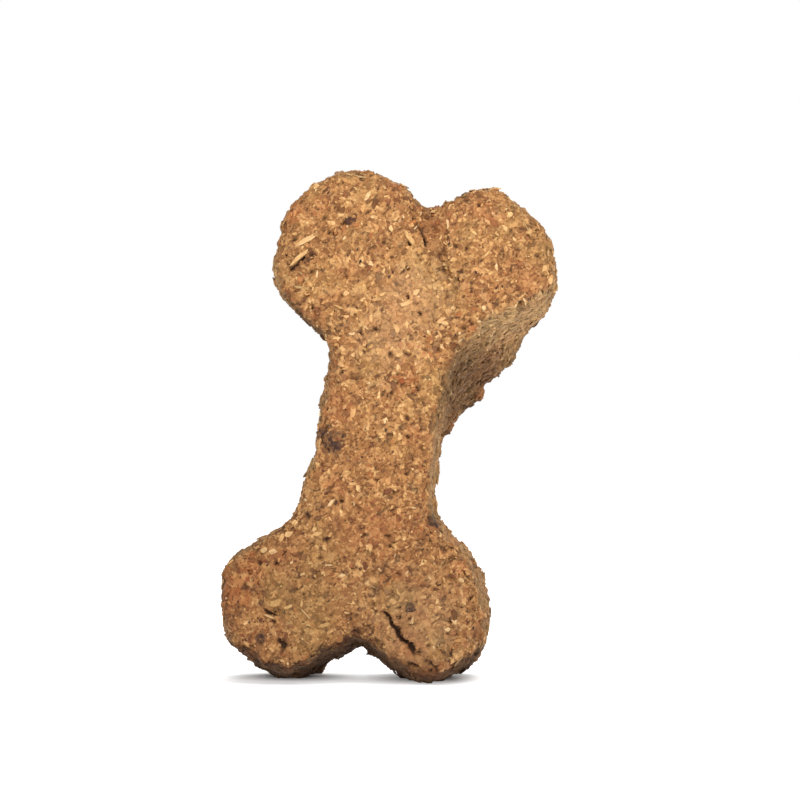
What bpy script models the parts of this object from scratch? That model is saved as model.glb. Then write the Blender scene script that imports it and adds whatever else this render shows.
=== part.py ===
"""A bone-shaped baked dog biscuit of coarse bran dough, 6 cm long and 2 cm thick.

It stands on its two lower knobs, leaning a little back and to the right, on small flats where the soft dough
settled. The front has a rounded rim. The walls swell towards the back in places, most of all below the upper
right knob, and the rim there is sharper and ragged.
Lengths are in millimetres until the mesh is stored, which is in metres.

Local axes: X across the front to the right, Y from the front to the back, Z up the bone.
"""

import math

import bmesh
import bpy
import numpy as np
from mathutils import Matrix, Vector, noise

MM = 0.001

# Driving dimensions of the bone
THICKNESS = 20.0
UPPER_KNOBS = ((-7.3, 21.4, 9.6), (7.5, 22.8, 8.6))  # across, along, radius
LOWER_KNOBS = ((-7.9, -20.7, 7.8), (8.4, -19.3, 7.5))
SHANK_LENGTH = 40.0
SHANK_HALF_WIDTH = 7.3
SHANK_ASIDE = -0.55  # the shank's middle lies this far across
SHANK_TAPER = 0.051  # the shank narrows upwards by this share of its length
SHANK_ROUNDING = 0.025  # and is rounded off towards its ends by this, times the distance squared
KNOB_NOTCH = 2.8  # softness of the notch between two knobs
ARMPIT_FILLET = 12.0  # softness of the joins between shank and knobs

# Walls and rims
FRONT_RIM = 2.3
BACK_RIM = 0.8
FLARE = 0.3  # how much wider the back is than the front, on each side
BACK_ASIDE = 0.3  # how far the back's outline lies across from the front's
CROWN = 0.5  # how far the middle of the front stands proud of its rim
DENT_SPREAD = 2.2
DENTS = (  # swellings of the outline, and dents where below zero: across, along, height
    (-9.1, -28.6, -0.4),
    (-15.4, -21.1, -0.4),
    (-8.7, -11.0, -0.2),
    (-15.1, -16.6, 0.3),
    (-8.4, -5.2, 0.3),
    (-7.8, -2.1, -0.4),
    (-8.1, 3.2, 0.4),
    (-16.0, 16.0, 0.3),
    (-12.4, 12.7, 0.3),
    (-16.6, 19.8, 0.2),
    (-7.9, 10.0, -0.2),
    (-15.9, 24.1, -0.6),
    (-13.8, 28.0, -0.2),
    (-8.5, 31.2, 0.4),
    (3.1, 29.5, -0.2),
    (8.0, 31.9, 0.5),
    (14.1, 27.8, -0.3),
    (7.3, 11.8, 0.3),
    (11.9, 16.6, -1.1),
    (6.2, 8.3, 0.2),
    (17.0, 21.1, 0.5),
    (6.4, 1.2, -0.4),
    (6.5, -3.5, -0.5),
    (11.5, -11.0, 0.6),
    (14.6, -15.9, -0.3),
    (15.6, -19.3, -0.3),
    (10.0, -27.1, 0.5),
    (4.6, -25.2, -0.7),
)
SWELL_SPREAD = 2.6
SWELLS = (  # swellings of the walls that grow towards the back: across, along, height at the back
    (-3.1, -27.6, -0.3),
    (-13.1, 14.7, -0.6),
    (-10.7, 13.6, -1.2),
    (-8.7, 11.8, -0.8),
    (16.4, 20.5, -0.5),
    (14.5, 15.7, 0.7),
    (13.0, 12.8, 1.6),
    (11.2, 10.1, 1.2),
    (9.4, 7.3, 1.5),
    (6.7, -0.8, -0.4),
    (7.5, -4.0, 0.4),
    (10.8, -8.3, 0.5),
    (8.8, -7.3, -0.4),
    (14.9, -13.0, 1.0),
    (16.9, -18.9, 0.2),
    (0.8, -24.9, 0.4),
)
SPUR = (10.9, 8.5, 0.8, 1.5)  # crumb hanging from the back rim: across, along, spread, height
HEEL = (-6.3, -28.6, 2.6, 2.2)  # swelling under the left knob's back: across, along, spread, height
HEEL_RIM = 1.1  # radius of the front rim over the heel

# How the biscuit stands
ROLL = math.radians(10.4)
LEAN = math.radians(-4.0)
HEART = Vector((-0.89, -0.15, 27.85))  # the bone's centre above the point it is measured from

# The valley between the upper knobs
CREASE_TOP, CREASE_FOOT = (0.4, 27.5), (5.8, 13.0)  # across, along
CREASE_DEPTH = 1.15
CREASE_WIDTHS = (1.1, 2.4)  # at its top and at its foot
CREASE_STEP = 0.35  # how much lower the right knob's face lies

# Cracks on the front: path, half width and depth
CRACKS = (
    (((3.3, -19.6), (4.6, -20.4), (5.7, -22.0), (7.2, -23.0), (8.1, -24.6)), 0.75, 1.6),
    (((7.3, -25.3), (8.2, -25.0), (9.4, -25.7)), 0.60, 0.8),
    (((0.0, 28.0), (0.9, 25.4), (1.9, 23.0)), 0.70, 1.1),
    (((-10.3, -21.6), (-9.2, -22.2), (-7.9, -22.4)), 0.60, 0.8),
    (((-7.8, -24.5), (-6.7, -25.5), (-7.0, -26.9)), 0.60, 0.8),
    (((-15.0, 17.3), (-13.6, 18.9), (-11.9, 21.1)), 0.60, 0.8),
    (((-12.3, -15.2), (-11.5, -17.1), (-10.5, -18.8)), 0.80, 0.5),
)

# Relief
LUMP_SIZE, LUMP_HEIGHT = 6.5, 0.5
CHIP_SIZE, CHIP_HEIGHT = 3.0, 0.4
BURR_SIZE, BURR_HEIGHT = 3.0, 1.2

SKIN_VOXEL = 0.42
TRIANGLES = 11500
CRUMB_COLOUR = (0.50, 0.25, 0.105, 1.0)


def smooth_min(a, b, softness):
    """The smaller of two distances, rounded over where they are within softness of each other."""
    share = np.clip(0.5 + 0.5 * (b - a) / softness, 0.0, 1.0)
    return b * (1 - share) + a * share - softness * share * (1 - share)


def ramp(x, low, high):
    """0 below low, 1 above high, and smooth between."""
    t = np.clip((x - low) / (high - low), 0.0, 1.0)
    return t * t * (3 - 2 * t)


def mound(x, z, across, along, spread):
    """1 at a spot of the bone's plane, falling to 0 over a few times the spread."""
    return np.exp(-((x - across) ** 2 + (z - along) ** 2) / (2 * spread**2))


def outline(x, z):
    """Signed distance to the cutter's bone outline in its own plane."""
    pairs = []
    for knobs in (UPPER_KNOBS, LOWER_KNOBS):
        left, right = (np.hypot(x - across, z - along) - radius for across, along, radius in knobs)
        pairs.append(smooth_min(left, right, KNOB_NOTCH))
    half_width = SHANK_HALF_WIDTH - SHANK_TAPER * z - SHANK_ROUNDING * z * z
    shank = np.maximum(np.abs(x - SHANK_ASIDE) - half_width, np.abs(z) - SHANK_LENGTH / 2)
    return smooth_min(pairs[1], smooth_min(pairs[0], shank, ARMPIT_FILLET), ARMPIT_FILLET)


def crease_depth(x, z):
    """The valley that runs down from the notch between the upper knobs, with a lower face on its right."""
    top, foot = CREASE_TOP, CREASE_FOOT
    share = 1 - ramp(z, foot[1], top[1])
    middle = top[0] + (foot[0] - top[0]) * share
    width = CREASE_WIDTHS[0] + (CREASE_WIDTHS[1] - CREASE_WIDTHS[0]) * share
    valley = CREASE_DEPTH * np.exp(-(((x - middle) / width) ** 2))
    step = CREASE_STEP * ramp(x - middle, -0.6 * width, 1.2 * width)
    return (valley + step) * ramp(z, foot[1] - 5.0, foot[1] + 7.0)


def body(points):
    """Signed distance to the smooth biscuit: the outline run through the thickness, with rounded rims."""
    x, y, z = points.T
    depth = np.clip(y / THICKNESS + 0.5, 0.0, 1.0)
    wall = outline(x - BACK_ASIDE * depth, z) - FLARE * depth
    heel = mound(x, z, *HEEL[:3])
    wall -= HEEL[3] * heel * depth
    for across, along, height in DENTS:
        wall -= height * mound(x, z, across, along, DENT_SPREAD)
    for across, along, height in SWELLS:
        wall -= height * mound(x, z, across, along, SWELL_SPREAD) * depth
    crown = CROWN * (1 - np.exp(np.minimum(wall, 0.0) / 3.5))
    front = -y - THICKNESS / 2 - crown + crease_depth(x, z)
    back = y - THICKNESS / 2
    rim = np.where(y < 0, FRONT_RIM + (HEEL_RIM - FRONT_RIM) * heel, BACK_RIM)
    face = np.where(y < 0, front, back)
    over = np.stack([wall + rim, face + rim])
    return np.minimum(over.max(axis=0), 0.0) + np.hypot(*np.maximum(over, 0.0)) - rim


def slope(points):
    """Unit normals of the smooth biscuit."""
    step = 0.02
    normals = np.empty_like(points)
    for axis in range(3):
        shift = np.zeros(3)
        shift[axis] = step
        normals[:, axis] = body(points + shift) - body(points - shift)
    return normals / np.linalg.norm(normals, axis=1, keepdims=True)


def settle(points, edges, rounds):
    """Evens the points out along the edges and brings them back onto the smooth biscuit each time."""
    count = np.bincount(edges.ravel(), minlength=len(points))[:, None]
    for _ in range(rounds):
        total = np.zeros_like(points)
        np.add.at(total, edges[:, 0], points[edges[:, 1]])
        np.add.at(total, edges[:, 1], points[edges[:, 0]])
        points = 0.5 * points + 0.5 * total / count
        for _ in range(2):
            points = points - slope(points) * body(points)[:, None]
    return points


def line_distance(x, z, path):
    """Distance to a crack's path, and how far along it the nearest point is, from 0 to 1."""
    nearest = np.full(len(x), np.inf)
    along = np.zeros(len(x))
    for i, (start, end) in enumerate(zip(path, path[1:])):
        run = np.array(end) - np.array(start)
        t = np.clip(((x - start[0]) * run[0] + (z - start[1]) * run[1]) / (run @ run), 0, 1)
        away = np.hypot(x - start[0] - t * run[0], z - start[1] - t * run[1])
        closer = away < nearest
        nearest = np.where(closer, away, nearest)
        along = np.where(closer, (i + t) / (len(path) - 1), along)
    return nearest, along


def crack_depth(points, wander):
    """Depth of the cracks below the front face, with ragged sides and shallow ends."""
    x, y, z = points.T
    depth = np.zeros(len(points))
    for path, half_width, deepest in CRACKS:
        away, along = line_distance(x, z, path)
        taper = np.clip(5 * np.minimum(along, 1 - along) + 0.35, 0, 1)
        ragged = away + 0.3 * wander
        depth = np.maximum(depth, deepest * taper * (1 - ramp(ragged, 0.0, 1.7 * half_width)))
    return depth * (1 - ramp(y, -8.0, -4.0))


def sampled(field, points, size, offset):
    """A noise field of Blender's, read at each point with features of this size."""
    return np.array([field(Vector(p) / size + Vector(offset)) for p in points])


def chip(point):
    """Height of the broken bran chips here: each cell is a small tilted plate with an edge."""
    distances, centres = noise.voronoi(point)
    tilt = noise.cell_vector(centres[0] * 7.3)
    gap = min(1.0, (distances[1] - distances[0]) * 3.0)
    return (point - centres[0]).dot(tilt - Vector((0.5, 0.5, 0.5))) * 2.0 - 0.7 * (1 - gap)


def relief(points):
    """Height of the surface above the smooth biscuit at each point."""
    depth = points[:, 1] / THICKNESS + 0.5
    edge = outline(points[:, 0], points[:, 2])
    wall = ramp(edge, -1.5, 0.3)
    lumps = sampled(noise.noise, points, LUMP_SIZE, (3.1, 0.4, 7.7))
    chips = sampled(chip, points * np.array([1.0, 1.5, 1.0]), CHIP_SIZE, (11.3, 5.2, 0.9))
    burrs = sampled(noise.noise, points, BURR_SIZE, (6.6, 1.8, 2.5))
    height = LUMP_HEIGHT * lumps * (0.6 + 0.6 * wall)
    height += CHIP_HEIGHT * chips * (0.55 + 0.45 * wall)
    height += BURR_HEIGHT * np.maximum(burrs - 0.1, 0.0) * ramp(depth, 0.82, 0.95) * wall
    height += SPUR[3] * mound(points[:, 0], points[:, 2], *SPUR[:3]) * ramp(depth, 0.7, 0.85) * wall
    return height - crack_depth(points, burrs)


def blank():
    """The bone roughed out of four discs and a block, with one even skin over them."""
    rough = bmesh.new()
    on_edge = Matrix.Rotation(math.pi / 2, 4, "X")
    for across, along, radius in UPPER_KNOBS + LOWER_KNOBS:
        bmesh.ops.create_cone(
            rough,
            cap_ends=True,
            segments=64,
            radius1=radius,
            radius2=radius,
            depth=THICKNESS,
            matrix=Matrix.Translation((across, 0, along)) @ on_edge,
        )
    length = UPPER_KNOBS[0][1] - LOWER_KNOBS[0][1]
    size = Matrix.Diagonal((2 * SHANK_HALF_WIDTH, THICKNESS, length, 1))
    bmesh.ops.create_cube(rough, size=1, matrix=size)
    mesh = bpy.data.meshes.new("rough")
    rough.to_mesh(mesh)
    rough.free()
    holder = bpy.data.objects.new("rough", mesh)
    bpy.context.scene.collection.objects.link(holder)
    skin = holder.modifiers.new("skin", "REMESH")
    skin.mode = "VOXEL"
    skin.voxel_size = SKIN_VOXEL
    graph = bpy.context.evaluated_depsgraph_get()
    skinned = bpy.data.meshes.new_from_object(holder.evaluated_get(graph))
    bpy.data.objects.remove(holder)
    bpy.data.meshes.remove(mesh)
    return skinned


def crumb_material():
    """Baked bran dough: warm tan and quite matt."""
    material = bpy.data.materials.new("baked_bran_dough")
    material.use_nodes = True
    shader = material.node_tree.nodes["Principled BSDF"]
    shader.inputs["Base Color"].default_value = CRUMB_COLOUR
    shader.inputs["Roughness"].default_value = 0.85
    shader.inputs["Metallic"].default_value = 0.0
    return material


def biscuit(collection):
    """The one solid: the blank brought to the smooth form, then given its relief and simplified."""
    mesh = blank()
    mesh.name = "biscuit"
    points = np.empty(len(mesh.vertices) * 3, np.float32)
    mesh.vertices.foreach_get("co", points)
    points = points.reshape(-1, 3).astype(float)
    edges = np.empty(len(mesh.edges) * 2, np.int32)
    mesh.edges.foreach_get("vertices", edges)
    points = settle(points, edges.reshape(-1, 2), rounds=12)
    points = points + slope(points) * relief(points)[:, None]
    mesh.vertices.foreach_set("co", (points * MM).astype(np.float32).ravel())
    mesh.update()
    mesh.materials.append(crumb_material())
    obj = bpy.data.objects.new("biscuit", mesh)
    obj.matrix_world = (
        Matrix.Translation(HEART * MM) @ Matrix.Rotation(LEAN, 4, "X") @ Matrix.Rotation(ROLL, 4, "Y")
    )
    collection.objects.link(obj)
    facets = obj.modifiers.new("facets", "DECIMATE")
    facets.ratio = TRIANGLES / (2 * len(mesh.polygons))
    facets.use_collapse_triangulate = True
    return obj


def floor_cutter(collection):
    """The block under the table's surface, which leaves a flat under each lower knob."""
    width, height = 100.0 * MM, 20.0 * MM
    block = bmesh.new()
    below = Matrix.Translation((0, 0, -height / 2))
    bmesh.ops.create_cube(block, size=1, matrix=below @ Matrix.Diagonal((width, width, height, 1)))
    mesh = bpy.data.meshes.new("floor_cutter")
    block.to_mesh(mesh)
    block.free()
    cutter = bpy.data.objects.new("floor_cutter", mesh)
    cutter.hide_render = True
    cutter.display_type = "WIRE"
    collection.objects.link(cutter)
    return cutter


def main():
    for obj in list(bpy.data.objects):
        bpy.data.objects.remove(obj)
    parts = bpy.data.collections.new("dog_biscuit")
    cutters = bpy.data.collections.new("cutters")
    for collection in (parts, cutters):
        bpy.context.scene.collection.children.link(collection)
    solid = biscuit(parts)
    flats = solid.modifiers.new("flats", "BOOLEAN")
    flats.operation = "DIFFERENCE"
    flats.solver = "EXACT"
    flats.object = floor_cutter(cutters)


main()
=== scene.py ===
"""The looks of a bone-shaped baked dog biscuit of coarse bran dough, standing on a white floor.

The solid gives the form. Here it gets its crumb: a skin of pressed bran flakes with pores and cracks
between them, and loose flakes, husks, straws and crumbs as pieces of their own.
Lengths are in millimetres in the code and in metres in the meshes.
"""

import math

import bmesh
import bpy
import numpy as np
from mathutils import Matrix, Vector, kdtree, noise


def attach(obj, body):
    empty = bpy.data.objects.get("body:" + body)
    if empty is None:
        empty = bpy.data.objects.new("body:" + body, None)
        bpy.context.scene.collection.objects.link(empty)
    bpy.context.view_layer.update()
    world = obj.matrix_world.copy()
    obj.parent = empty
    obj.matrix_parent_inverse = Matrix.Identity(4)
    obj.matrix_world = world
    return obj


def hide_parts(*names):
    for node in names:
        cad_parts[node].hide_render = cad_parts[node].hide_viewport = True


MM = 0.001

# How the bone stands: its own axes run across, from front to back, and along it
ROLL = math.radians(10.4)
LEAN = math.radians(-4.0)
HEART = np.array((-0.89, -0.15, 27.85))
THICKNESS = 20.0

# Crumb surface
SKIN_VOXEL = 0.40
SMOOTHING_ROUNDS = 4
CRACK_REACH = 1.6  # how far to each side the solid's own cracks are closed
CLOSING_ROUNDS = 70
BROAD_PLATES = ((1.9, 0.14),)  # size and height of the pressed flakes
FINE_PLATES = ((0.95, 0.11), (0.5, 0.07))
LUMP_SIZE, LUMP_HEIGHT = 4.0, 0.14
LAYER_HEIGHT = 0.25
PORE_COUNT = 800
PORE_RADII = (0.12, 0.32)
PORE_DEPTH = 0.5
DEEP_PORE_RADIUS = 0.25  # from this radius on a pore is as deep as that
PORE_RAGGED, CRACK_RAGGED, CRACK_WARP = 0.26, 0.16, 0.25  # how far their edges stray
FULL_SHADE_DEPTH = 0.45  # from this depth on an opening's painted shade is as dark as it gets
FLOOR_GAP = 0.02  # loose pieces stay this far above the floor
PORE_SEED = 4

# The broken right flank below the upper knob, and how it fades out at each end
FLANK_FOOT, FLANK_TOP = (2.0, 5.0), (19.5, 22.0)  # along the bone
FLANK_SIDE, FLANK_BACK = (4.5, 7.0), (4.0, 9.0)  # across it and towards its back
FINE_SIDE, FINE_BACK, FINE_FOOT, FINE_TOP = 5.0, 8.0, 3.0, 21.0  # the part of it with the smaller cells

# The solid's own cracks, which are wider than the real ones: path across and along the bone
SOLID_CRACKS = (
    ((3.3, -19.6), (4.6, -20.4), (5.7, -22.0), (7.2, -23.0), (8.1, -24.6)),
    ((7.3, -25.3), (8.2, -25.0), (9.4, -25.7)),
    ((0.0, 28.0), (0.9, 25.4), (1.9, 23.0)),
    ((-10.3, -21.6), (-9.2, -22.2), (-7.9, -22.4)),
    ((-7.8, -24.5), (-6.7, -25.5), (-7.0, -26.9)),
    ((-15.0, 17.3), (-13.6, 18.9), (-11.9, 21.1)),
    ((-12.3, -15.2), (-11.5, -17.1), (-10.5, -18.8)),
)
# Front cracks: path across and along the bone, half width, depth
CRACKS = (
    (((3.6, -19.8), (4.4, -20.1), (5.0, -21.0), (5.7, -21.7)), 0.15, 0.8),
    (((5.1, -21.0), (6.0, -22.0), (6.6, -22.4), (7.4, -22.8), (7.9, -23.8)), 0.25, 1.0),
    (((7.3, -24.9), (8.2, -25.3), (8.8, -25.2), (9.5, -25.6)), 0.17, 0.8),
    (((9.9, -24.4), (10.6, -25.0), (11.3, -25.9)), 0.14, 0.6),
    (((-1.0, 26.9), (-0.6, 25.8), (0.4, 24.5), (1.1, 23.3)), 0.17, 0.8),
    (((2.0, 22.9), (2.8, 21.7), (3.7, 20.2)), 0.12, 0.35),
    (((-10.1, -21.8), (-9.1, -22.1), (-8.2, -22.3)), 0.15, 0.6),
    (((-7.8, -24.9), (-7.0, -25.4), (-7.0, -26.3)), 0.18, 0.6),
    (((-14.5, 17.6), (-13.6, 18.5), (-12.6, 20.1)), 0.10, 0.6),
    (((-12.0, -15.9), (-11.4, -17.1), (-10.6, -18.3)), 0.12, 0.35),
    (((11.2, -20.7), (12.1, -21.1)), 0.07, 0.3),
    (((11.2, -13.0), (12.2, -13.5), (13.2, -14.2)), 0.08, 0.4),
    (((-1.5, -17.2), (-0.5, -17.7)), 0.07, 0.3),
    (((0.5, -5.6), (0.9, -6.3)), 0.07, 0.3),
)
# The valley between the upper knobs, dented deeper
VALLEY = ((0.2, 27.8), (0.9, 25.6), (1.8, 23.6), (2.9, 21.8), (3.7, 20.0))
VALLEY_HALF_WIDTH, VALLEY_DEPTH = 1.3, 0.45
# Front pores that show from a step away: across, along, radius
FRONT_PORES = (
    (-11.7, 17.8, 0.33),
    (-15.1, 18.0, 0.24),
    (-4.1, 22.8, 0.24),
    (-2.9, 21.2, 0.28),
    (-1.5, 19.3, 0.18),
    (-10.9, 21.5, 0.18),
    (-9.6, 21.1, 0.20),
    (11.2, 23.8, 0.18),
    (10.0, 22.9, 0.24),
    (9.3, 27.3, 0.18),
    (4.2, 23.8, 0.26),
    (-6.0, 13.8, 0.22),
    (-3.3, 10.9, 0.22),
    (-1.0, 9.8, 0.36),
    (-6.4, 6.9, 0.36),
    (-0.2, 5.5, 0.24),
    (2.4, 3.0, 0.28),
    (2.9, 0.7, 0.26),
    (3.8, -1.6, 0.30),
    (3.5, -3.3, 0.30),
    (4.3, -4.3, 0.22),
    (-3.3, -7.9, 0.30),
    (-7.1, -10.3, 0.40),
    (-4.2, -12.6, 0.35),
    (0.9, -8.3, 0.20),
    (2.7, -10.8, 0.30),
    (3.0, -12.0, 0.24),
    (4.5, -15.0, 0.26),
    (1.4, -14.1, 0.20),
    (3.4, -23.0, 0.30),
    (8.1, -17.9, 0.20),
    (-13.0, -17.3, 0.22),
    (-13.3, -18.8, 0.20),
    (7.1, 8.3, 0.42),
)

# Hollows in the walls: across, towards the back, along, radius
WALL_HOLLOWS = (
    (7.0, -2.2, 8.9, 0.50),
    (10.4, 6.1, 10.3, 0.60),
    (12.4, 3.7, 14.5, 0.75),
    (11.9, 4.7, 12.5, 0.50),
    (10.0, -9.2, 16.4, 0.32),
    (12.9, -9.2, 18.8, 0.30),
    (8.6, -3.0, 12.0, 0.30),
    (6.8, -8.8, -8.3, 0.60),
    (7.7, -2.2, -7.3, 0.50),
)

# Spots with a colour of their own on the front: across, along, radius
DARK_STAINS = (
    (-5.7, -1.6, 1.25),
    (-7.0, -0.7, 0.9),
    (-8.5, 24.4, 0.6),
    (6.6, -18.5, 0.6),
    (7.4, -8.3, 1.0),
    (-9.8, -25.2, 0.8),
)
OCHRE_SPOTS = (
    (-13.2, -20.3, 2.0),
    (-12.6, -17.2, 1.3),
    (7.1, -23.6, 0.8),
    (10.4, -9.8, 0.9),
    (11.8, -13.0, 0.9),
    (15.7, -17.9, 1.2),
    (3.3, -16.1, 0.8),
    (-15.2, 24.0, 1.2),
    (1.4, 7.5, 1.0),
)
DRY_SPOTS = (
    (0.6, 17.0, 4.5),
    (-1.5, 12.0, 4.0),
    (7.5, -20.5, 5.5),
)
# Scorched crumb that sticks out of the right flank: its place on the bone, and its radius
SPUR_PLACE, SPUR_RADIUS = (10.8, 6.9, 9.0), 1.6
# Husks that lie in the front: start, end, width
HUSKS = (
    ((-14.6, 20.1), (-11.2, 22.9), 0.60),
    ((-14.6, 18.0), (-12.5, 20.4), 0.65),
    ((-7.2, 27.0), (-6.7, 28.6), 0.55),
    ((-6.2, 25.3), (-5.5, 25.6), 0.50),
    ((-2.2, 24.6), (-0.2, 22.9), 0.65),
    ((2.6, 27.0), (3.1, 25.6), 0.45),
    ((7.7, 23.0), (8.5, 24.3), 0.30),
    ((9.2, 22.8), (9.6, 21.7), 0.40),
    ((-3.5, 16.3), (-2.7, 17.1), 0.50),
    ((-8.6, 14.5), (-7.1, 14.1), 0.30),
    ((1.8, 18.7), (2.6, 18.6), 0.60),
    ((-0.4, 9.7), (0.6, 10.4), 0.65),
    ((-5.6, -4.4), (-5.2, -5.3), 0.40),
    ((-4.9, -9.0), (-4.2, -7.8), 0.50),
    ((-0.8, -10.2), (0.4, -9.9), 0.30),
    ((-9.6, -21.4), (-7.8, -20.5), 0.95),
    ((-10.0, -22.4), (-8.3, -22.8), 0.30),
    ((-5.9, -20.9), (-4.5, -22.0), 0.22),
    ((-3.5, -22.8), (-2.0, -22.1), 0.60),
    ((9.7, -14.4), (10.1, -15.2), 0.35),
    ((-11.9, -15.3), (-11.1, -14.8), 0.80),
    ((-10.7, -15.3), (-9.7, -14.9), 0.75),
)
HUSK_THICKNESS = 0.16
HUSK_LIFT = 0.06  # above the crumb that it lies on
HUSK_SEED = 16

# Pieces lying in the surface: how many, length and width ranges, thickness
TAN_FLAKES = (9400, (0.4, 1.5), (0.3, 1.0), 0.13)
PALE_FLAKES = (2500, (0.3, 1.1), (0.2, 0.7), 0.12)
RUSSET_FLAKES = (3800, (0.35, 1.3), (0.25, 0.9), 0.12)
DARK_BITS = (1500, (0.2, 0.7), (0.2, 0.45), 0.12)
STRAWS = (1000, (0.7, 2.4), (0.12, 0.26), 0.10)
CRUMBS = (23000, (0.14, 0.46))  # how many, length range
UNEVEN, EVEN = (0.55, 1.25), (0.85, 1.15)  # how far a flake's corners reach, as a share of its size
FLAKE_MARGIN, STRAW_MARGIN, CRUMB_MARGIN = 0.2, 0.3, 0.03  # how far they stay from openings
GREYED, HARDLY_GREYED = 0.42, 0.10  # how much of the walls' grey-green a piece takes on

# Light
EYE_LEVEL_BAND = math.radians(10.5)  # how high the white surround reaches before it fades
OVERHEAD = 0.35  # brightness of the surround overhead
NEAR_GLOW, FAR_GLOW = 0.55, 0.9  # the floor's own light by the biscuit and further out, as on a lit sweep
NEAR_FLOOR, FAR_FLOOR = 40.0, 150.0
PAINTED_SHADOW_FEET = ((-0.012, 0.003, 0.0), (0.005, 0.0, 0.0))  # where the two knobs stand, in metres; the floor's glow fades out round them as a painted contact shadow
KEY_PLACE = (0.05, -0.24, 0.30)
KEY_SIZE = 0.28
KEY_POWER = 1.4
FILL_PLACE = (0.08, 0.28, 0.26)  # behind the biscuit, for its back and the floor there
FILL_POWER = 0.8

# Camera, nearly level with the biscuit
CAMERA_TILT = math.radians(91.5)
FRONT_FROM_CAMERA = Vector((-1.987, -4.542, -299.889))  # the front's middle, seen from the camera
FOCAL_PIXELS = 2579.1
IMAGE_PIXELS = 800
SENSOR = 36.0


def tone(red, green, blue):
    """A display colour, 0 to 255 each, as the linear colour that shaders take."""
    levels = np.array((red, green, blue)) / 255
    linear = np.where(levels <= 0.04045, levels / 12.92, ((levels + 0.055) / 1.055) ** 2.4)
    return (*(float(v) for v in linear), 1.0)


def ramp(x, low, high):
    """0 below low, 1 above high, and smooth between."""
    t = np.clip((x - low) / (high - low), 0.0, 1.0)
    return t * t * (3 - 2 * t)


def between(low_high, share):
    """The value at this share of the way from the low end of a range to the high one."""
    return low_high[0] + (low_high[1] - low_high[0]) * share


BONE_TO_WORLD = np.array(Matrix.Rotation(LEAN, 3, "X") @ Matrix.Rotation(ROLL, 3, "Y"))


def to_bone(points):
    """World millimetres to the bone's own axes."""
    return (points - HEART) @ BONE_TO_WORLD


def to_world(points):
    """Points on the bone's own axes to world millimetres."""
    return points @ BONE_TO_WORLD.T + HEART


# Mesh helpers


def read_points(mesh):
    """A mesh's vertices in millimetres."""
    values = np.empty(len(mesh.vertices) * 3, np.float32)
    mesh.vertices.foreach_get("co", values)
    return values.reshape(-1, 3).astype(float) / MM


def write_points(mesh, points):
    """Moves a mesh's vertices to places in millimetres."""
    mesh.vertices.foreach_set("co", (points * MM).astype(np.float32).ravel())
    mesh.update()


def read_normals(mesh):
    """The way out at each vertex."""
    values = np.empty(len(mesh.vertices) * 3, np.float32)
    mesh.vertices.foreach_get("normal", values)
    return values.reshape(-1, 3).astype(float)


def read_edges(mesh):
    values = np.empty(len(mesh.edges) * 2, np.int32)
    mesh.edges.foreach_get("vertices", values)
    return values.reshape(-1, 2)


def read_triangles(mesh):
    mesh.calc_loop_triangles()
    values = np.empty(len(mesh.loop_triangles) * 3, np.int32)
    mesh.loop_triangles.foreach_get("vertices", values)
    return values.reshape(-1, 3)


def set_attribute(mesh, name, values):
    attribute = mesh.attributes.new(name, "FLOAT", "POINT")
    attribute.data.foreach_set("value", values.astype(np.float32))


def add_piece(name, mesh, material):
    """A finished mesh as a piece that belongs to the biscuit."""
    obj = bpy.data.objects.new(name, mesh)
    bpy.context.scene.collection.objects.link(obj)
    mesh.materials.append(material)
    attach(obj, "root")
    return obj


def tree_of(points):
    """A search tree that finds the nearest of these points."""
    tree = kdtree.KDTree(len(points))
    for i, point in enumerate(points):
        tree.insert(point, i)
    tree.balance()
    return tree


def sampled(field, points, size, offset):
    """A noise field, read at each point with features of this size."""
    shift = Vector(offset)
    return np.array([field(Vector(p) / size + shift) for p in points])


def wobble(point):
    """A smooth random shift, from three readings of the same noise."""
    second = noise.noise(point + Vector((31.0, 17.0, 5.0)))
    third = noise.noise(point + Vector((7.0, 43.0, 23.0)))
    return noise.noise(point), second, third


# Where things are on the bone


def path_distance(x, z, path):
    """Distance to a crack's path, and how far along it the nearest point is, from 0 to 1."""
    nearest = np.full(len(x), np.inf)
    along = np.zeros(len(x))
    for i, (start, end) in enumerate(zip(path, path[1:])):
        run = np.array(end) - np.array(start)
        t = np.clip(((x - start[0]) * run[0] + (z - start[1]) * run[1]) / (run @ run), 0, 1)
        away = np.hypot(x - start[0] - t * run[0], z - start[1] - t * run[1])
        closer = away < nearest
        nearest = np.where(closer, away, nearest)
        along = np.where(closer, (i + t) / (len(path) - 1), along)
    return nearest, along


def near_spots(bone, spots, ragged):
    """How much each point lies in one of the front's spots, from 0 to 1."""
    amount = np.zeros(len(bone))
    for across, along, radius in spots:
        away = np.hypot(bone[:, 0] - across, bone[:, 2] - along) * (1 + 0.9 * ragged)
        amount = np.maximum(amount, 1 - ramp(away, 0.55 * radius, 1.25 * radius))
    return amount * (1 - ramp(bone[:, 1], -6.0, -2.0))


def on_flank(bone, facing):
    """How much each point lies on the broken right flank, from 0 to 1."""
    along = ramp(bone[:, 2], *FLANK_FOOT) * (1 - ramp(bone[:, 2], *FLANK_TOP))
    across = ramp(bone[:, 0], *FLANK_SIDE) * (1 - ramp(bone[:, 1], *FLANK_BACK))
    return along * across * ramp(facing[:, 0], 0.05, 0.45)


def low_down(bone):
    """How far down each point lies, from 0 in the shank to 1 in the lower knobs."""
    return ramp(-bone[:, 2], 4.0, 20.0)


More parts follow.
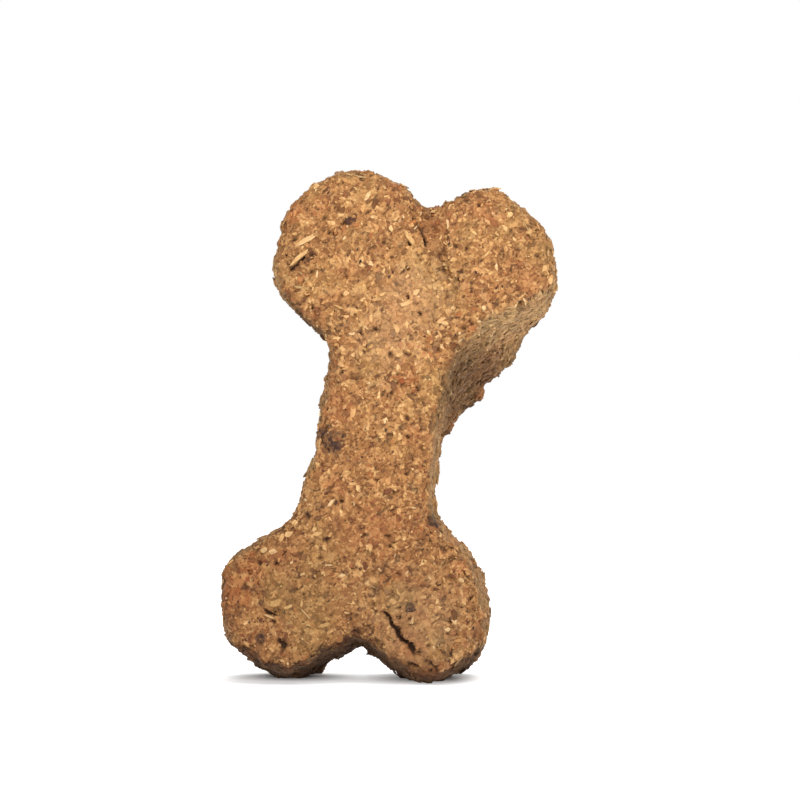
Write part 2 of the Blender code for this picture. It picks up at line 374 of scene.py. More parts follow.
def near_opening(bone, margin):
    """True where a front crack, a named pore or a larger husk lies within this margin."""
    near = np.zeros(len(bone), bool)
    for path, half_width, _ in CRACKS:
        near |= path_distance(bone[:, 0], bone[:, 2], path)[0] < half_width + margin
    for across, along, radius in FRONT_PORES:
        near |= np.hypot(bone[:, 0] - across, bone[:, 2] - along) < radius + margin
    for start, end, width in HUSKS:
        near |= path_distance(bone[:, 0], bone[:, 2], (start, end))[0] < 0.3 * width + margin
    return near & (bone[:, 1] < -4.0)


def set_tints(mesh, points, out, repeat=1):
    """What a place's colour depends on: wall or face, painted shade on downward faces and on the lower
    flank, darker low down, painted light on the upper flank, and the front's spots.
    """
    bone = to_bone(points)
    facing = out @ BONE_TO_WORLD
    ragged = sampled(noise.noise, bone, 0.9, (4.0, 9.0, 2.0))
    speckled = np.clip(0.75 + 0.4 * sampled(noise.cell, bone, 0.45, (1.0, 3.0, 8.0)), 0.3, 1.0)
    # painted shade on faces that look down
    underside_shade = ramp(-out[:, 2], 0.35, 0.85)
    flank = on_flank(bone, facing)
    steep = 0.2 + 0.5 * flank
    from_spur = np.linalg.norm(bone - SPUR_PLACE, axis=1)
    scorched = 1 - ramp(from_spur, 0.4 * SPUR_RADIUS, SPUR_RADIUS)
    # painted shade on the lower part of the broken flank
    shaded = 0.85 * flank * (1 - ramp(bone[:, 2], 10.5, 16.0))
    tints = {
        "wall": 1 - ramp(np.abs(facing[:, 1]), steep, steep + 0.3),
        # painted shade on downward faces and the lower flank, with a darker tone towards the lower knobs
        "low_and_painted_shade": np.clip(0.36 * low_down(bone) + 0.95 * underside_shade * (1 - flank) + shaded, 0, 1),
        "underside_shade": underside_shade * (1 - flank) * (1 - ramp(np.abs(facing[:, 1]), 0.7, 0.95)),
        # painted light: the upper part of the broken flank made paler
        "painted_flank_light": flank * ramp(bone[:, 2], 12.5, 16.0) * (1 - ramp(bone[:, 1], -4.0, 5.0)) * speckled,
        "soot": near_spots(bone, DARK_STAINS, ragged) * speckled,
        "ochre": np.maximum(near_spots(bone, OCHRE_SPOTS, ragged), scorched) * speckled,
        "dry": near_spots(bone, DRY_SPOTS, ragged),
    }
    for name, values in tints.items():
        set_attribute(mesh, name, np.repeat(values, repeat))


# Crumb surface


def averages(points, edges, count):
    """The middle of each point's neighbours."""
    total = np.zeros_like(points)
    np.add.at(total, edges[:, 0], points[edges[:, 1]])
    np.add.at(total, edges[:, 1], points[edges[:, 0]])
    return total / count


def smoothed(points, edges, rounds):
    """Laplacian smoothing that gives back what it shrinks."""
    count = np.bincount(edges.ravel(), minlength=len(points))[:, None]
    for _ in range(rounds):
        for strength in (0.6, -0.55):
            points = points + strength * (averages(points, edges, count) - points)
    return points


def cracks_closed(points, edges):
    """A skin drawn over the solid's cracks."""
    bone = to_bone(points)
    near = np.zeros(len(points), bool)
    for path in SOLID_CRACKS:
        near |= path_distance(bone[:, 0], bone[:, 2], path)[0] < CRACK_REACH
    near &= bone[:, 1] < -6.0
    local = edges[near[edges].any(axis=1)]
    used, compact = np.unique(local, return_inverse=True)
    compact = compact.reshape(-1, 2)
    count = np.bincount(compact.ravel())[:, None]
    patch = points[used]
    loose = near[used]
    for _ in range(CLOSING_ROUNDS):
        patch = np.where(loose[:, None], averages(patch, compact, count), patch)
    points = points.copy()
    points[used] = patch
    return points


def refine_front(mesh):
    """Cells half as large on the front and the broken right flank, where the crumb is seen closest."""
    facing = read_normals(mesh) @ BONE_TO_WORLD
    bone = to_bone(read_points(mesh))
    flank = (bone[:, 0] > FINE_SIDE) & (bone[:, 1] < FINE_BACK)
    flank &= (bone[:, 2] > FINE_FOOT) & (bone[:, 2] < FINE_TOP)
    fine = (facing[:, 1] < -0.55) | flank
    cells = bmesh.new()
    cells.from_mesh(mesh)
    cells.verts.ensure_lookup_table()
    chosen = [edge for edge in cells.edges if fine[edge.verts[0].index] and fine[edge.verts[1].index]]
    bmesh.ops.subdivide_edges(cells, edges=chosen, cuts=1, use_grid_fill=True)
    cells.to_mesh(mesh)
    cells.free()


def crack_depth(bone, on_front, wander):
    """Depth of the front cracks, ragged and tapering to their ends."""
    depth = np.zeros(len(bone))
    for path, half_width, deepest in CRACKS:
        away, along = path_distance(bone[:, 0], bone[:, 2], path)
        taper = np.clip(4 * np.minimum(along, 1 - along) + 0.3, 0, 1)
        width = half_width * np.clip(1 + 1.5 * wander, 0.2, 1.8) * (0.5 + 0.5 * taper)
        depth = np.maximum(depth, deepest * taper * (1 - ramp(away, 0.2 * width, 1.9 * width + 0.05)))
    return depth * on_front


def pore_depth(points, pores, radii, depths):
    """Depth of round-bottomed pores at each point."""
    tree = tree_of(pores)
    depth = np.zeros(len(points))
    for i, point in enumerate(points):
        _, nearest, away = tree.find(point)
        if away < 1.5 * radii[nearest]:
            share = away / radii[nearest]
            depth[i] = depths[nearest] * max(0.0, 1 - share * share / 2.0)
    return depth


def plate(point):
    """Height of the pressed flakes: each cell is a small tilted plate with a groove round it."""
    distances, centres = noise.voronoi(point)
    tilt = noise.cell_vector(centres[0] * 9.1)
    raised = noise.cell(centres[0] * 5.3)
    groove = 1 - min(1.0, (distances[1] - distances[0]) * 4.0)
    return (point - centres[0]).dot(tilt - Vector((0.5, 0.5, 0.5))) * 1.6 + raised - 0.8 * groove


def plates(recipe, points, warp, on_wall):
    """Pressed flakes of several sizes, a little higher on the walls."""
    height = np.zeros(len(points))
    for size, rise in recipe:
        field = sampled(plate, points + 0.35 * warp, size, (size, 4.0, 2.0))
        height += rise * (0.65 + 0.45 * on_wall) * field
    return height


def layers(point):
    """Height of the walls' layers, which run round the biscuit level with its faces."""
    return noise.noise(Vector((point.x * 0.22, point.y * 1.25, point.z * 0.22)))


def blank():
    """The solid's shape in even cells, smooth, with its wide cracks closed."""
    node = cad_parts["biscuit"]
    holder = bpy.data.objects.new("crumb_blank", node.data.copy())
    bpy.context.scene.collection.objects.link(holder)
    skin = holder.modifiers.new("skin", "REMESH")
    skin.mode = "VOXEL"
    skin.voxel_size = SKIN_VOXEL * MM
    graph = bpy.context.evaluated_depsgraph_get()
    mesh = bpy.data.meshes.new_from_object(holder.evaluated_get(graph))
    bpy.data.objects.remove(holder)
    mesh.name = "crumb_body"
    mesh.materials.clear()
    edges = read_edges(mesh)
    points = cracks_closed(read_points(mesh), edges)
    write_points(mesh, smoothed(points, edges, SMOOTHING_ROUNDS))
    refine_front(mesh)
    return mesh


def openings(points, warp, on_front):
    """How deep each point lies in a pore or crack."""
    rng = np.random.default_rng(PORE_SEED)
    ragged = sampled(wobble, points, 0.45, (3.0, 5.0, 1.0))
    wander = sampled(noise.noise, points, 1.1, (5.0, 1.0, 8.0))
    chosen = rng.choice(len(points), PORE_COUNT, replace=False)
    named = [(across, -THICKNESS / 2, along, radius) for across, along, radius in FRONT_PORES]
    named = np.array(named + list(WALL_HOLLOWS))
    skin = tree_of(points)
    places = np.array([skin.find(spot)[0] for spot in to_world(named[:, :3])])
    pores = np.concatenate([points[chosen], places])
    radii = np.concatenate([between(PORE_RADII, rng.random(PORE_COUNT) ** 2.5), named[:, 3]])
    depths = PORE_DEPTH * np.minimum(1.0, radii / DEEP_PORE_RADIUS)
    pits = pore_depth(points + PORE_RAGGED * ragged, pores, radii, depths)
    cracks = crack_depth(to_bone(points + CRACK_RAGGED * ragged + CRACK_WARP * warp), on_front, wander)
    return np.maximum(pits, cracks)


def crumb_body():
    """The whole biscuit's skin at the scale of its crumb, the way out at each point, and where things lie.

    The third is a set of shares from 0 to 1 for every point, which say how much it belongs to the walls,
    the upper part of the broken flank, the lower knobs, or a raised flake.
    """
    mesh = blank()
    points = read_points(mesh)
    normals = read_normals(mesh)
    bone = to_bone(points)
    facing = normals @ BONE_TO_WORLD
    on_front = ramp(-facing[:, 1], 0.5, 0.8)
    on_wall = 1 - ramp(np.abs(facing[:, 1]), 0.55, 0.85)

    warp = sampled(wobble, points, 1.4, (11.0, 3.0, 1.0))
    height = LUMP_HEIGHT * sampled(noise.noise, points, LUMP_SIZE, (2.0, 7.0, 3.0))
    height += LAYER_HEIGHT * on_wall * sampled(layers, bone + 0.4 * warp, 1.0, (6.0, 0.0, 2.0))
    height += plates(BROAD_PLATES, points, warp, on_wall)
    fine = plates(FINE_PLATES, points, warp, on_wall)
    rise = (fine - fine.mean()) / fine.std()
    from_valley, _ = path_distance(bone[:, 0], bone[:, 2], VALLEY)
    valley = (1 - ramp(from_valley, 0.0, VALLEY_HALF_WIDTH)) * on_front
    height += fine - VALLEY_DEPTH * valley
    carved = openings(points, warp, on_front)

    points = points + normals * (height - carved)[:, None]
    points[:, 2] = np.maximum(points[:, 2], 0.0)
    write_points(mesh, points)
    # painted shade in the grooves round the pressed flakes and along the valley
    gap_shade = ramp(-rise, 0.3, 1.4) * (1 - 0.45 * on_wall) + 0.25 * valley
    # painted shade in pores and cracks, darkest at full depth
    set_attribute(mesh, "pit_shade", np.clip(carved / FULL_SHADE_DEPTH, 0, 1))
    set_attribute(mesh, "gap_shade", np.clip(gap_shade, 0, 1))
    set_tints(mesh, points, normals)
    mesh.polygons.foreach_set("use_smooth", np.ones(len(mesh.polygons), bool))
    upper_flank = on_flank(bone, facing) * ramp(bone[:, 2], 11.0, 14.0) * (1 - ramp(bone[:, 1], -2.0, 6.0))
    shares = {
        "wall": on_wall,
        "flank": upper_flank,
        "low": low_down(bone),
        "raised": ramp(rise, -0.9, 0.3),
    }
    return mesh, normals, shares


# Loose pieces in the surface


def spread(body, normals, count, rng, margin, weight):
    """Random places on the surface, by area and weight and clear of its openings, with the way out."""
    points = read_points(body)
    triangles = read_triangles(body)
    corners = points[triangles]
    area = np.linalg.norm(np.cross(corners[:, 1] - corners[:, 0], corners[:, 2] - corners[:, 0]), axis=1)
    chance = area * weight[triangles].mean(axis=1)
    chosen = rng.choice(len(triangles), count, p=chance / chance.sum())
    shares = rng.dirichlet((1, 1, 1), count)
    places = np.einsum("ij,ijk->ik", shares, corners[chosen])
    out = np.einsum("ij,ijk->ik", shares, normals[triangles[chosen]])
    out /= np.linalg.norm(out, axis=1, keepdims=True)
    clear = ~near_opening(to_bone(places), margin)
    return places[clear], out[clear]


def lying(out, rng, tilt, spin):
    """For each place two directions in the surface, a little tilted, and on the walls near their run."""
    along = np.cross(out, BONE_TO_WORLD[:, 1])
    flat = np.linalg.norm(along, axis=1) < 0.5
    along[flat] = np.cross(out[flat], BONE_TO_WORLD[:, 0])
    along /= np.linalg.norm(along, axis=1, keepdims=True)
    side = np.cross(out, along)
    turn = rng.uniform(-math.pi, math.pi, len(out))
    turn = np.where(flat, turn, turn * spin)
    first = along * np.cos(turn)[:, None] + side * np.sin(turn)[:, None]
    first = first + out * rng.normal(0, tilt, len(out))[:, None]
    first /= np.linalg.norm(first, axis=1, keepdims=True)
    second = np.cross(out, first) + out * rng.normal(0, tilt, len(out))[:, None]
    second -= first * np.sum(first * second, axis=1, keepdims=True)
    second /= np.linalg.norm(second, axis=1, keepdims=True)
    return first, second


def placed(places, first, second, x, y, z):
    """Points given in each piece's own directions, in the world."""
    up = np.cross(first, second)
    local = (x[..., None], first[:, None]), (y[..., None], second[:, None]), (z[..., None], up[:, None])
    return places[:, None] + sum(share * direction for share, direction in local)


def joined(name, points, faces, places, out, shades):
    """Many small shells with the same faces as one mesh, each with its own shade."""
    count, size = points.shape[:2]
    points = points.reshape(-1, 3)
    points[:, 2] = np.maximum(points[:, 2], FLOOR_GAP)
    every = (np.array(faces)[None] + size * np.arange(count)[:, None, None]).reshape(-1, 3)
    mesh = bpy.data.meshes.new(name)
    mesh.from_pydata((points * MM).tolist(), [], every.tolist())
    set_attribute(mesh, "shade", np.repeat(shades, size))
    set_tints(mesh, places, out, size)
    return mesh


def flake_mesh(name, places, out, first, second, lengths, widths, thickness, reaches, rng):
    """Thin six-cornered flakes with uneven outlines and worn edges, one closed shell each."""
    corners = 6
    count = len(places)
    turn = (np.arange(corners) + rng.uniform(-0.35, 0.35, (count, corners))) * (2 * math.pi / corners)
    reach = rng.uniform(*reaches, (count, corners))
    x = reach * np.cos(turn) * lengths[:, None] / 2
    y = reach * np.sin(turn) * widths[:, None] / 2
    bend = rng.uniform(-0.15, 0.15, count)[:, None] * x * x
    x = np.concatenate([x, 0.8 * x], axis=1)
    y = np.concatenate([y, 0.8 * y], axis=1)
    z = np.concatenate([bend - 0.6 * thickness, bend + 0.4 * thickness], axis=1)
    faces = []
    for k in range(1, corners - 1):
        faces.append((0, k + 1, k))
        faces.append((corners, corners + k, corners + k + 1))
    for k in range(corners):
        after = (k + 1) % corners
        faces.append((k, after, after + corners))
        faces.append((k, after + corners, k + corners))
    points = placed(places, first, second, x, y, z)
    return joined(name, points, faces, places, out, rng.random(count))


def scatter_flakes(name, recipe, body, normals, weight, material, seed):
    """Flakes of one kind, strewn over the skin by weight and lying nearly flat in it."""
    count, lengths, widths, thickness = recipe
    rng = np.random.default_rng(seed)
    places, out = spread(body, normals, count, rng, FLAKE_MARGIN, weight)
    first, second = lying(out, rng, 0.13, 0.4)
    size = rng.random(len(places)) ** 1.6
    wide = between(widths, size) * rng.uniform(0.6, 1.0, len(places))
    long = between(lengths, size)
    mesh = flake_mesh(name, places, out, first, second, long, wide, thickness, UNEVEN, rng)
    add_piece(name, mesh, material)


def lay_husks(body, normals, material):
    """The larger husks of the front, each lying between its own two ends."""
    rng = np.random.default_rng(HUSK_SEED)
    points = read_points(body)
    skin = tree_of(points)
    places, out, first = [], [], []
    for start, end, _ in HUSKS:
        stations = np.linspace(start, end, 7)
        line = to_world(np.insert(stations, 1, -THICKNESS / 2, axis=1))
        hits = [skin.find(spot)[1] for spot in line]
        way_out = normals[hits].mean(axis=0)
        way_out /= np.linalg.norm(way_out)
        level = np.quantile((points[hits] - line) @ way_out, 0.8)
        run = line[-1] - line[0]
        run -= way_out * (run @ way_out)
        places.append(line.mean(axis=0) + (level + HUSK_LIFT) * way_out)
        out.append(way_out)
        first.append(run / np.linalg.norm(run))
    places, out, first = np.array(places), np.array(out), np.array(first)
    second = np.cross(out, first)
    second /= np.linalg.norm(second, axis=1, keepdims=True)
    lengths = np.array([math.dist(start, end) for start, end, _ in HUSKS])
    widths = np.array([width for _, _, width in HUSKS])
    mesh = flake_mesh("husks", places, out, first, second, lengths, widths, HUSK_THICKNESS, EVEN, rng)
    add_piece("husks", mesh, material)


def scatter_straws(name, recipe, body, normals, weight, material, seed):
    """Thin bent fibres of husk, square in section and thinner at both ends, most of them on the walls."""
    count, lengths, widths, thickness = recipe
    rng = np.random.default_rng(seed)
    places, out = spread(body, normals, count, rng, STRAW_MARGIN, weight)
    first, second = lying(out, rng, 0.03, 0.2)
    long = between(lengths, rng.random(len(places)) ** 2)[:, None]
    wide = between(widths, rng.random(len(places)))[:, None]
    rings, sides = 5, 4
    stations = np.repeat(np.linspace(-0.5, 0.5, rings), sides)
    taper = np.repeat((0.35, 0.9, 1.0, 0.85, 0.3), sides)
    across = np.tile((-0.5, 0.5, 0.5, -0.5), rings) * taper
    level = np.tile((-0.5, -0.5, 0.5, 0.5), rings) * taper
    sway = rng.uniform(-0.12, 0.12, len(places))[:, None]
    x = stations * long
    y = sway * long * (4 * stations * stations - 0.5) + across * wide
    z = np.broadcast_to(level * thickness - 0.1 * thickness, x.shape)
    faces = [(3, 2, 1), (3, 1, 0), (16, 17, 18), (16, 18, 19)]
    for ring in range(rings - 1):
        for side in range(sides):
            a, b = sides * ring + side, sides * ring + (side + 1) % sides
            faces += [(a, b, b + sides), (a, b + sides, a + sides)]
    points = placed(places, first, second, x, y, z)
    mesh = joined(name, points, faces, places, out, rng.random(len(places)))
    add_piece(name, mesh, material)


def scatter_crumbs(name, recipe, body, normals, weight, material, seed):
    """Fine crumbs, each a small uneven lump of eight faces."""
    count, lengths = recipe
    rng = np.random.default_rng(seed)
    places, out = spread(body, normals, count, rng, CRUMB_MARGIN, weight)
    first, second = lying(out, rng, 0.5, 1.0)
    size = between(lengths, rng.random(len(places)) ** 1.8)[:, None] / 2
    lump = np.array(((1, 0, 0), (-1, 0, 0), (0, 1, 0), (0, -1, 0), (0, 0, 1), (0, 0, -1)), float)
    lump = lump + rng.uniform(-0.35, 0.35, (len(places), 6, 3))
    x = size * lump[..., 0]
    y = size * lump[..., 1] * 0.8
    z = size * lump[..., 2] * 0.65
    top = ((0, 2, 4), (2, 1, 4), (1, 3, 4), (3, 0, 4))
    foot = ((2, 0, 5), (1, 2, 5), (3, 1, 5), (0, 3, 5))
    points = placed(places, first, second, x, y, z)
    mesh = joined(name, points, top + foot, places, out, rng.random(len(places)))
    add_piece(name, mesh, material)


# Materials


class Shading:
    """A material being built: its tree, its shader, and short ways to add nodes to it."""

    def __init__(self, name, roughness):
        self.material = bpy.data.materials.new(name)
        self.material.use_nodes = True
        self.tree = self.material.node_tree
        self.shader = self.tree.nodes["Principled BSDF"]
        self.shader.inputs["Roughness"].default_value = roughness
        self.shader.inputs["Specular IOR Level"].default_value = 0.3
        self.place = self.tree.nodes.new("ShaderNodeTexCoord").outputs["Object"]

    def node(self, kind, inputs=(), **settings):
        """A new node with these values or links on its inputs."""
        made = self.tree.nodes.new(kind)
        for key, value in settings.items():
            setattr(made, key, value)
        for key, value in dict(inputs).items():
            if isinstance(value, bpy.types.NodeSocket):
                self.tree.links.new(value, made.inputs[key])
            else:
                made.inputs[key].default_value = value
        return made

    def attribute(self, name):
        """A number that the mesh stores for each vertex."""
        return self.node("ShaderNodeAttribute", attribute_name=name).outputs["Fac"]

    def noise(self, size, detail=2.0, roughness=0.5):
        """Soft noise with features of this size in millimetres."""
        inputs = {"Vector": self.place, "Scale": 1 / (size * MM), "Detail": detail, "Roughness": roughness}
        return self.node("ShaderNodeTexNoise", inputs).outputs["Fac"]

    def streaks(self, along, through):
        """Soft noise drawn out round the biscuit and thin from its front to its back, in millimetres."""
        stretch = (1 / (along * MM), 1 / (through * MM), 1 / (along * MM))
        stretched = self.node("ShaderNodeVectorMath", {0: self.place, 1: stretch}, operation="MULTIPLY")
        inputs = {"Vector": stretched.outputs[0], "Scale": 1.0, "Detail": 3.0}
        return self.node("ShaderNodeTexNoise", inputs).outputs["Fac"]

    def cells(self, size, vector=None):
        """A random number for each cell of this size in millimetres."""
        inputs = {"Vector": vector or self.place, "Scale": 1 / (size * MM)}
        colour = self.node("ShaderNodeTexVoronoi", inputs).outputs["Color"]
        return self.node("ShaderNodeSeparateColor", {"Color": colour}).outputs["Red"]

    def roughened(self, amount, size):
        """The place moved about a little, so that cells get ragged borders."""
        inputs = {"Vector": self.place, "Scale": 1 / (size * MM), "Detail": 2.0}
        drift = self.node("ShaderNodeTexNoise", inputs).outputs["Color"]
        centred = self.node("ShaderNodeVectorMath", {0: drift, 1: (0.5, 0.5, 0.5)}, operation="SUBTRACT")
        shift = {0: centred.outputs[0], "Scale": amount * MM}
        scaled = self.node("ShaderNodeVectorMath", shift, operation="SCALE")
        moved = self.node("ShaderNodeVectorMath", {0: self.place, 1: scaled.outputs[0]}, operation="ADD")
        return moved.outputs[0]

    def tones(self, factor, stops):
        """A colour from a list of (position, colour), smooth between them."""
        made = self.node("ShaderNodeValToRGB", {"Fac": factor})
        elements = made.color_ramp.elements
        while len(elements) < len(stops):
            elements.new(0.5)
        for element, (position, colour) in zip(elements, stops):
            element.position = position
            element.color = colour
        return made.outputs["Color"]

    def between(self, value, low, high, to_low=0.0, to_high=1.0):
        """value from low to high, stretched to another range and held at its ends."""
        inputs = {"Value": value, "From Min": low, "From Max": high, "To Min": to_low, "To Max": to_high}
        return self.node("ShaderNodeMapRange", inputs).outputs["Result"]

    def blend(self, factor, first, second, mode="MIX"):
        """Two colours mixed by a factor."""
        made = self.node("ShaderNodeMix", data_type="RGBA", blend_type=mode)
        for socket, value in ((made.inputs[0], factor), (made.inputs[6], first), (made.inputs[7], second)):
            if isinstance(value, bpy.types.NodeSocket):
                self.tree.links.new(value, socket)
            else:
                socket.default_value = value
        return made.outputs[2]

    def times(self, first, second):
        return self.node("ShaderNodeMath", {0: first, 1: second}, operation="MULTIPLY").outputs[0]

    def bump(self, heights):
        """Fine relief from (height, depth in millimetres) pairs."""
        normal = None
        for height, depth in heights:
            inputs = {"Height": height, "Distance": depth * MM, "Strength": 1.0}
            if normal is not None:
                inputs["Normal"] = normal
            normal = self.node("ShaderNodeBump", inputs).outputs["Normal"]
        self.tree.links.new(normal, self.shader.inputs["Normal"])

    def finish(self, colour, roughness=None):
        """The material, with its colour and roughness linked."""
        self.tree.links.new(colour, self.shader.inputs["Base Color"])
        if roughness is not None:
            self.tree.links.new(roughness, self.shader.inputs["Roughness"])
        return self.material


CRUMB_TONES = (
    (0.00, tone(98, 60, 30)),
    (0.20, tone(128, 83, 45)),
    (0.50, tone(155, 106, 61)),
    (0.80, tone(182, 132, 80)),
    (1.00, tone(210, 165, 108)),
)
TAN_TONES = (
    (0.00, tone(106, 68, 36)),
    (0.22, tone(150, 102, 57)),
    (0.55, tone(178, 128, 77)),
    (0.80, tone(200, 150, 93)),
    (1.00, tone(228, 186, 128)),
)
PALE_TONES = ((0.0, tone(188, 142, 85)), (0.6, tone(206, 163, 105)), (1.0, tone(232, 201, 150)))
RUSSET_TONES = ((0.0, tone(100, 59, 33)), (0.5, tone(138, 85, 49)), (1.0, tone(172, 110, 61)))
DARK_TONES = ((0.0, tone(46, 27, 20)), (1.0, tone(88, 55, 36)))
STRAW_TONES = ((0.0, tone(150, 118, 74)), (0.5, tone(186, 152, 102)), (1.0, tone(222, 192, 142)))
HUSK_TONES = ((0.0, tone(192, 146, 86)), (0.5, tone(208, 166, 108)), (1.0, tone(226, 192, 142)))


def tinted(make, colour, greyed=GREYED):
    """Golden, russet and olive drifts, greyer walls, darker low down, painted shade on downward faces and
    the lower flank, painted light on the upper flank, and the stained places.
    """
    russet = make.between(make.noise(4.5, 3.0), 0.50, 0.66)
    colour = make.blend(make.times(russet, 0.32), colour, tone(160, 94, 55))
    olive = make.between(make.noise(6.5, 2.0), 0.50, 0.66)
    colour = make.blend(make.times(olive, 0.22), colour, tone(168, 138, 80))
    colour = make.blend(make.times(make.attribute("wall"), greyed), colour, tone(158, 132, 92))
    streak = make.between(make.streaks(2.2, 1.2), 0.50, 0.66)
    shaded = make.blend(1.0, colour, tone(168, 160, 150), "MULTIPLY")
    colour = make.blend(make.times(make.times(make.attribute("wall"), 0.35), streak), colour, shaded)
    colour = make.blend(make.times(make.attribute("ochre"), 0.36), colour, tone(168, 84, 34))
    colour = make.blend(make.times(make.attribute("dry"), 0.17), colour, tone(210, 172, 124))
    # the darker copy for the lower knobs and for the painted shade on downward faces and the lower flank
    painted_shade_tone = make.blend(1.0, colour, tone(172, 160, 150), "MULTIPLY")
    # painted light on the upper flank
    colour = make.blend(make.times(make.attribute("painted_flank_light"), 0.12), colour, tone(222, 192, 144))
    colour = make.blend(make.attribute("low_and_painted_shade"), colour, painted_shade_tone)
    # painted shade on faces that look down, darker still
    underside_shade_tone = make.blend(1.0, colour, tone(140, 126, 114), "MULTIPLY")
    colour = make.blend(make.times(make.attribute("underside_shade"), 0.6), colour, underside_shade_tone)
    return make.blend(make.times(make.attribute("soot"), 0.95), colour, tone(50, 31, 29))


def crumb_material():
    """Pressed bran crumb: flakes of many tans, with painted shade in the grooves between them and in the
    pores and cracks.
    """
    make = Shading("bran_crumb", 0.85)
    ragged = make.roughened(0.5, 0.5)
    coarse = make.tones(make.cells(0.85, ragged), CRUMB_TONES)
    fine = make.tones(make.cells(0.30, ragged), CRUMB_TONES)
    colour = tinted(make, make.blend(0.5, coarse, fine))
    # painted shade in the grooves between flakes
    colour = make.blend(make.times(make.attribute("gap_shade"), 0.85), colour, tone(66, 40, 22))
    # painted shade in pores and cracks
    colour = make.blend(make.between(make.attribute("pit_shade"), 0.35, 1.05), colour, tone(56, 33, 20))
    roughness = make.between(make.noise(0.6), 0.3, 0.7, 0.72, 0.95)
    make.bump(((make.noise(0.3, 4.0, 0.65), 0.10), (make.cells(0.30, ragged), 0.04)))
    return make.finish(colour, roughness)


def flake_material(name, stops, greyed=GREYED, roughness=0.72):
    """Loose bran: each piece has its own tone, with faint streaks."""
    make = Shading(name, roughness)
    colour = make.tones(make.attribute("shade"), stops)
    streak = make.between(make.noise(0.3, 3.0, 0.6), 0.35, 0.7)
    darker = make.blend(1.0, colour, tone(190, 168, 150), "MULTIPLY")
    colour = tinted(make, make.blend(make.times(streak, 0.7), colour, darker), greyed)
    make.bump(((make.noise(0.22, 3.0, 0.6), 0.06),))
    gloss = make.between(make.noise(0.8), 0.3, 0.7, roughness - 0.1, roughness + 0.15)
    return make.finish(colour, gloss)


# Scene


def floor_material():
    """White paper that glows further out, so that floor and surround are one white, and glows less right
    round the knobs, as a painted contact shadow.
    """
    make = Shading("white_floor", 0.6)
    away = make.node("ShaderNodeVectorMath", {0: make.place}, operation="LENGTH").outputs["Value"]
    glow = make.between(away, NEAR_FLOOR * MM, FAR_FLOOR * MM, NEAR_GLOW, FAR_GLOW)
    # painted contact shadow: the floor's glow fades out round each knob's foot
    for foot in PAINTED_SHADOW_FEET:
        to_foot = make.node("ShaderNodeVectorMath", {0: make.place, 1: foot}, operation="DISTANCE")
        glow = make.times(glow, make.between(to_foot.outputs["Value"], 2.0 * MM, 8.5 * MM))
    make.shader.inputs["Emission Color"].default_value = (1.0, 1.0, 1.0, 1.0)
    make.tree.links.new(glow, make.shader.inputs["Emission Strength"])
    return make.finish(make.blend(make.noise(60.0), tone(240, 240, 240), tone(244, 244, 244)))


def stage():
    """A white floor that runs out to a white surround."""
    half = 6.0
    mesh = bpy.data.meshes.new("floor")
    corners = [(-half, -half, 0), (half, -half, 0), (half, half, 0), (-half, half, 0)]
    mesh.from_pydata(corners, [], [(0, 1, 2, 3)])
    floor = bpy.data.objects.new("floor", mesh)
    bpy.context.scene.collection.objects.link(floor)
    mesh.materials.append(floor_material())


def surround():
    """White all round at eye level and dimmer overhead, like a paper sweep in a dim room."""
    world = bpy.data.worlds.new("white_surround")
    bpy.context.scene.world = world
    world.use_nodes = True
    tree = world.node_tree
    direction = tree.nodes.new("ShaderNodeTexCoord").outputs["Generated"]
    height = tree.nodes.new("ShaderNodeSeparateXYZ")
    tree.links.new(direction, height.inputs[0])
    fade = tree.nodes.new("ShaderNodeMapRange")
    fade.inputs["From Min"].default_value = math.sin(EYE_LEVEL_BAND)
    fade.inputs["From Max"].default_value = math.sin(1.6 * EYE_LEVEL_BAND)
    fade.inputs["To Min"].default_value = 1.0
    fade.inputs["To Max"].default_value = OVERHEAD
    tree.links.new(height.outputs["Z"], fade.inputs["Value"])
    background = tree.nodes["Background"]
    background.inputs["Color"].default_value = (1.0, 1.0, 1.0, 1.0)
    tree.links.new(fade.outputs["Result"], background.inputs["Strength"])


def soft_light(name, place, size, power, aim=(0.0, 0.0, 0.03)):
    """A square area light at a place in metres, aimed at the biscuit."""
    light = bpy.data.lights.new(name, "AREA")
    light.shape = "SQUARE"
    light.size = size
    light.energy = power
    obj = bpy.data.objects.new(name, light)
    obj.location = place
    obj.rotation_euler = (Vector(aim) - Vector(place)).to_track_quat("-Z", "Y").to_euler()
    bpy.context.scene.collection.objects.link(obj)


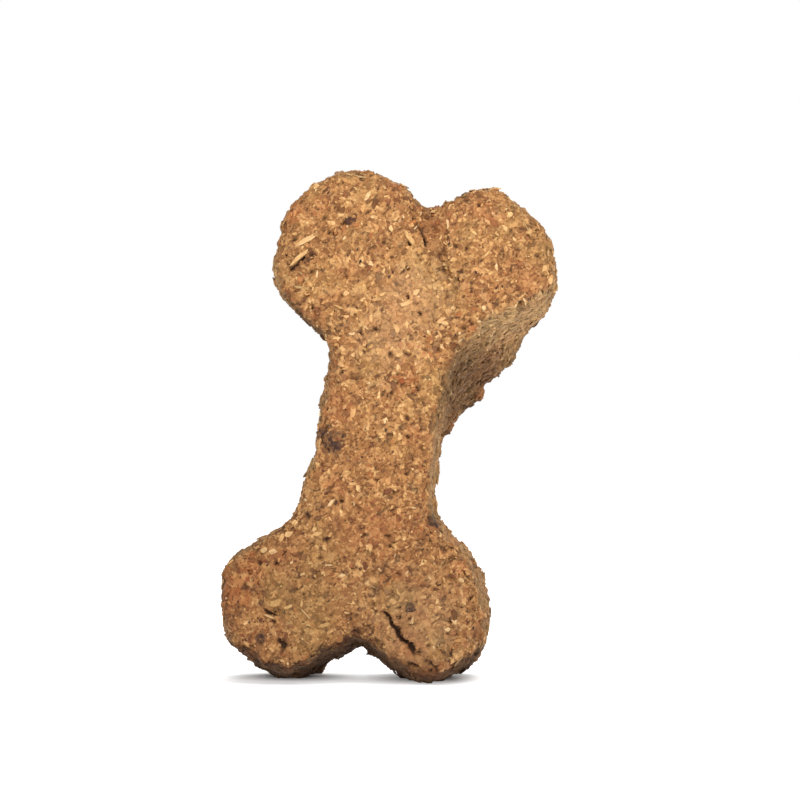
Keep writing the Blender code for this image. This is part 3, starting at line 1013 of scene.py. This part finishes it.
def camera():
    """The camera, placed by where the middle of the front lies in its view."""
    front = Vector(to_world(np.array([[0.0, -THICKNESS / 2, 0.0]]))[0])
    place = front - Matrix.Rotation(CAMERA_TILT, 3, "X") @ FRONT_FROM_CAMERA
    data = bpy.data.cameras.new("camera")
    data.lens = FOCAL_PIXELS / IMAGE_PIXELS * SENSOR
    data.sensor_width = SENSOR
    data.clip_start = 0.01
    obj = bpy.data.objects.new("camera", data)
    obj.location = place * MM
    obj.rotation_euler = (CAMERA_TILT, 0, 0)
    bpy.context.scene.collection.objects.link(obj)
    bpy.context.scene.camera = obj


def main():
    body, normals, shares = crumb_body()
    crumb = add_piece("crumb_body", body, crumb_material())
    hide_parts("biscuit")

    wall, flank, raised = shares["wall"], shares["flank"], shares["raised"]
    even = 0.08 + raised + 0.3 * wall
    marked = 0.08 + raised + shares["low"] + 4.0 * flank
    kinds = (
        ("tan_flakes", TAN_FLAKES, TAN_TONES, even, GREYED),
        ("pale_flakes", PALE_FLAKES, PALE_TONES, even + 2.2 * flank, HARDLY_GREYED),
        ("russet_flakes", RUSSET_FLAKES, RUSSET_TONES, even, GREYED),
        ("dark_bits", DARK_BITS, DARK_TONES, marked, HARDLY_GREYED),
    )
    for seed, (name, recipe, stops, weight, greyed) in enumerate(kinds, 11):
        scatter_flakes(name, recipe, body, normals, weight, flake_material(name, stops, greyed), seed)
    straw = flake_material("straw", STRAW_TONES, HARDLY_GREYED)
    scatter_straws("straws", STRAWS, body, normals, 0.15 + wall + 2.0 * flank, straw, 15)
    lay_husks(body, normals, flake_material("pale_husk", HUSK_TONES, HARDLY_GREYED, 0.65))
    crumb_bits = flake_material("bran_crumbs", CRUMB_TONES)
    scatter_crumbs("fine_crumbs", CRUMBS, body, normals, 0.5 + raised, crumb_bits, 17)

    stage()
    surround()
    soft_light("key", KEY_PLACE, KEY_SIZE, KEY_POWER)
    soft_light("fill", FILL_PLACE, KEY_SIZE, FILL_POWER)
    camera()


scene = bpy.context.scene
scene.view_settings.view_transform = "Standard"
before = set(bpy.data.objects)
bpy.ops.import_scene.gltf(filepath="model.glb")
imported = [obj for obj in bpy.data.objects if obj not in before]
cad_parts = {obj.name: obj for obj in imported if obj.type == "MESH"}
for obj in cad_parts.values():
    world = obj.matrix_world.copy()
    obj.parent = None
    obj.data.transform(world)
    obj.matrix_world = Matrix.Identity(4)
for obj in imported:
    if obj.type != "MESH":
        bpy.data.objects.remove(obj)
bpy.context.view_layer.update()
main()
